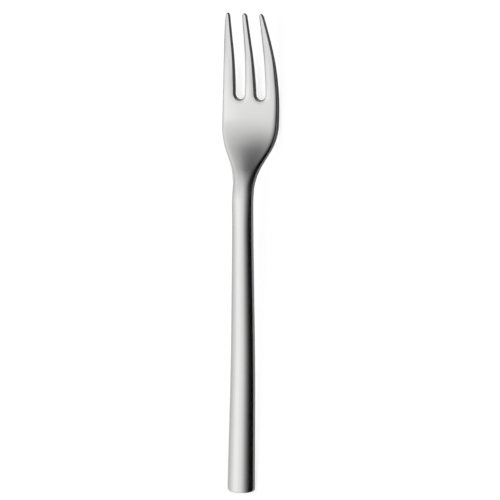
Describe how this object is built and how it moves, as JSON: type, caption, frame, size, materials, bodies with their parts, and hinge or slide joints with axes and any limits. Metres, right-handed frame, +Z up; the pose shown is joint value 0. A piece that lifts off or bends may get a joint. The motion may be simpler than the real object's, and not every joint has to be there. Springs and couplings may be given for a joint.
{
  "type": "pastry fork",
  "caption": "Small steel fork with slotted flat tines, a cupped head, an arched neck and a plain handle with a domed face and a flat back.",
  "frame": {"origin": "under the middle of the fork, at the height of the surface that it lies on", "axes": "+Y from the handle's end to the tips of the tines, +Z up, out of the face of the head, +X across, to the right as one looks down on the face with the tips away"},
  "size_m": [0.0202, 0.157, 0.0084],
  "materials": {
    "steel": "smooth satin, brushed very finely along the length"
  },
  "bodies": {
    "root": {"handle": "steel", "neck": "steel", "head": "steel", "left_tine": "steel", "middle_tine": "steel", "right_tine": "steel"}
  },
  "joints": []
}
